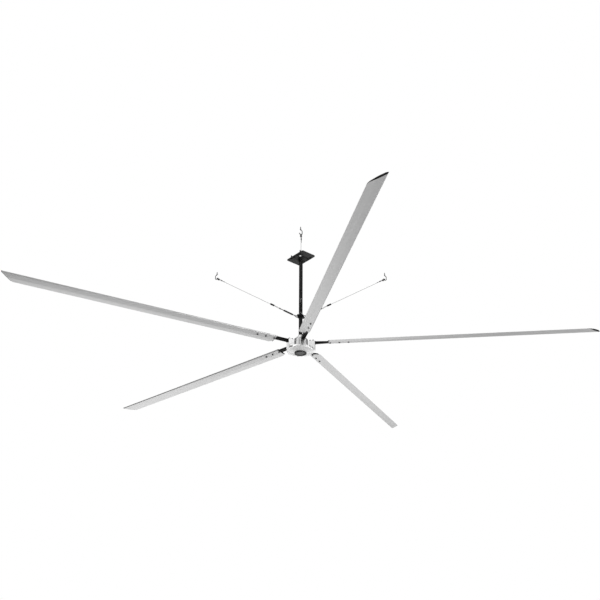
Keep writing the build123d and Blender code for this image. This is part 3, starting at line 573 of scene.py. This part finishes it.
# The free threads of the bolts and hooks that stand in the building
threads = {
    "ceilingBolt": {"radius": 0.0080, "core": 0.00775, "pitch": 0.002, "length": 0.0345},
    "hook": {"radius": 0.0050, "core": 0.00475, "pitch": 0.0015, "length": 0.0235},
    "stepsPerTurn": 20,
    "baseShare": 0.42,
    "crestShare": 0.07,
    "sunk": 0.0002,
    "runOutSteps": 10,
    "leastShare": 0.05,
    # where they begin: at the corners of the turned plate, and out, across and up from the fan's axis
    # on each guy's side, where the side hooks lie in the guy's plane and the other two across it
    "plateTurn": math.radians(-50),
    "boltLow": (0.09, 0.09, 0.0012),
    "sideHookLow": (1.103, 0.0, -0.2535),
    "crossHookLow": (1.095, -0.005609, -0.2431),
}


def windRidge(shape):
    # one thread's ridge round the upright axis: its outline is turned and lifted step by step
    pitch = shape["pitch"]
    steps = int(threads["stepsPerTurn"] * shape["length"] / pitch)
    base = shape["core"] - threads["sunk"]
    wide = threads["baseShare"] * pitch
    narrow = threads["crestShare"] * pitch
    outline = [(base, -wide), (base, wide), (shape["radius"], narrow), (shape["radius"], -narrow)]
    ridge = bmesh.new()
    corners = [ridge.verts.new((radius, 0, height)) for radius, height in outline]
    bmesh.ops.spin(ridge, geom=[ridge.faces.new(corners)], cent=(0, 0, 0), axis=(0, 0, 1),
                   angle=2 * math.pi * steps / threads["stepsPerTurn"], steps=steps,
                   dvec=(0, 0, pitch / threads["stepsPerTurn"]))
    for index, vertex in enumerate(ridge.verts):
        # each step has added one outline's corners, and at both ends the ridge rises out of the core
        step = index // len(outline)
        share = min(threads["runOutSteps"], step, steps - step) / threads["runOutSteps"]
        out = vertex.co.xy.length
        vertex.co.xy *= (base + (out - base) * max(share, threads["leastShare"])) / out
    bmesh.ops.recalc_face_normals(ridge, faces=ridge.faces)
    return ridge


def makeThreads(name, shape, lows, slotName):
    mesh = bpy.data.meshes.new(name)
    ridge = windRidge(shape)
    ridge.to_mesh(mesh)
    ridge.clear()
    for low in lows:
        # one more of the same ridge, moved to its own place
        ridge.from_mesh(mesh)
        added = list(ridge.verts)[-len(mesh.vertices):]
        bmesh.ops.translate(ridge, vec=low, verts=added)
    ridge.to_mesh(mesh)
    ridge.free()
    return addPiece(mesh, name, slotName)


boltLows = [quarterTurns(threads["plateTurn"], k) @ Vector(threads["boltLow"]) for k in range(4)]
boltThreads = makeThreads("ceilingBoltThreads", threads["ceilingBolt"], boltLows, "bolt_dark")
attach(boltThreads, "ceiling_mount")

hookLows = []
for number in range(len(fan["guyNames"])):
    low = threads["sideHookLow"] if number % 2 else threads["crossHookLow"]
    hookLows.append(quarterTurns(fan["firstGuy"], number) @ Vector(low))
hookThreads = makeThreads("hookThreads", threads["hook"], hookLows, "zinc")
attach(hookThreads, "down_rod")
print("free threads made")


# The pale studio, in metres and watts. The backdrop and the floor are seen paler than they light
studio = {
    "backdropSeen": 1.0,
    "skyAbove": 0.31,
    "skyBelow": 0.12,
    "floorHeight": -11.0,
    "floorSize": 60.0,
    "floorGrey": 0.66,
    "floorRough": 0.8,
    "floorSeen": 0.72,
    "white": (1.0, 1.0, 1.0, 1.0),
    "lampAim": (0.0, 0.0, -1.25),
}

lamps = {
    "farLeft": {"place": (-5.0, 7.0, -5.0), "size": 5.0, "power": 31.0},
    "farMiddle": {"place": (0.0, 9.0, -5.0), "size": 5.0, "power": 40.0},
    "wideLeft": {"place": (-6.0, 10.0, -6.0), "size": 10.0, "power": 126.0},
    "wideMiddle": {"place": (0.0, 12.0, -6.0), "size": 10.0, "power": 62.0},
    "wideRight": {"place": (6.0, 10.0, -6.0), "size": 10.0, "power": 33.0},
    "sideRight": {"place": (8.0, 0.0, -4.0), "size": 5.0, "power": 480.0},
    "below": {"place": (0.0, 0.0, -9.0), "size": 5.0, "power": 40.0},
    "front": {"place": (0.0, -12.0, 4.0), "size": 12.0, "power": 250.0},
    "frontLeft": {"place": (-9.0, -8.0, 3.0), "size": 8.0, "power": 250.0},
    "highLeft": {"place": (-8.5, 5.2, 3.2), "size": 6.0, "power": 62.0},
    "lowFront": {"place": (4.8, -3.4, -6.5), "size": 2.0, "power": 50.0},
    "frontRight": {"place": (9.0, -8.0, 3.0), "size": 8.0, "power": 150.0},
}


def seenOtherwise(nodeTree, usual, seen):
    # the camera sees one shader and all other light meets the usual one
    camera = nodeTree.make("ShaderNodeLightPath").outputs["Is Camera Ray"]
    mix = nodeTree.make("ShaderNodeMixShader", sockets={0: camera, 1: usual, 2: seen})
    return mix.outputs["Shader"]


def makeWorld():
    world = bpy.data.worlds.new("studioWorld")
    bpy.context.scene.world = world
    world.use_nodes = True
    sky = NodeTree(world.node_tree)
    direction = sky.make("ShaderNodeTexCoord").outputs["Generated"]
    # the upward direction goes from -1 straight below to 1 straight above
    strength = sky.make("ShaderNodeMapRange", sockets={
        "Value": sky.split(direction)[2], "From Min": -1.0, "From Max": 1.0,
        "To Min": studio["skyBelow"], "To Max": studio["skyAbove"]}).outputs["Result"]
    light = sky.tree.nodes["Background"]
    sky.put(light.inputs["Color"], studio["white"])
    sky.put(light.inputs["Strength"], strength)
    backdrop = sky.make("ShaderNodeBackground", sockets={
        "Color": studio["white"], "Strength": studio["backdropSeen"]})
    shown = seenOtherwise(sky, light.outputs["Background"], backdrop.outputs["Background"])
    sky.put(sky.tree.nodes["World Output"].inputs["Surface"], shown)


def makeLamps():
    for name, lamp in lamps.items():
        data = bpy.data.lights.new(name, "AREA")
        data.shape = "DISK"
        data.size = lamp["size"]
        data.energy = lamp["power"]
        item = bpy.data.objects.new(name, data)
        bpy.context.scene.collection.objects.link(item)
        item.location = lamp["place"]
        aim = Vector(studio["lampAim"]) - Vector(lamp["place"])
        item.rotation_euler = aim.to_track_quat("-Z", "Y").to_euler()
        item.visible_camera = False


def makeFloor():
    surface = Surface("studioFloor")
    grey = studio["floorGrey"]
    surface.set(Base_Color=(grey, grey, grey, 1.0), Roughness=studio["floorRough"])
    pale = surface.make("ShaderNodeEmission", sockets={
        "Color": studio["white"], "Strength": studio["floorSeen"]})
    shown = seenOtherwise(surface, surface.shader.outputs["BSDF"], pale.outputs["Emission"])
    surface.put(surface.tree.nodes["Material Output"].inputs["Surface"], shown)
    surface.material.cycles.emission_sampling = "NONE"
    sheet = bmesh.new()
    bmesh.ops.create_grid(sheet, x_segments=1, y_segments=1, size=studio["floorSize"] / 2,
                          matrix=Matrix.Translation((0, 0, studio["floorHeight"])))
    mesh = bpy.data.meshes.new("studioFloor")
    sheet.to_mesh(mesh)
    sheet.free()
    mesh.materials.append(surface.material)
    floor = bpy.data.objects.new("studioFloor", mesh)
    bpy.context.scene.collection.objects.link(floor)


makeWorld()
makeLamps()
makeFloor()
bpy.context.scene.view_settings.view_transform = "Standard"
print("studio made")
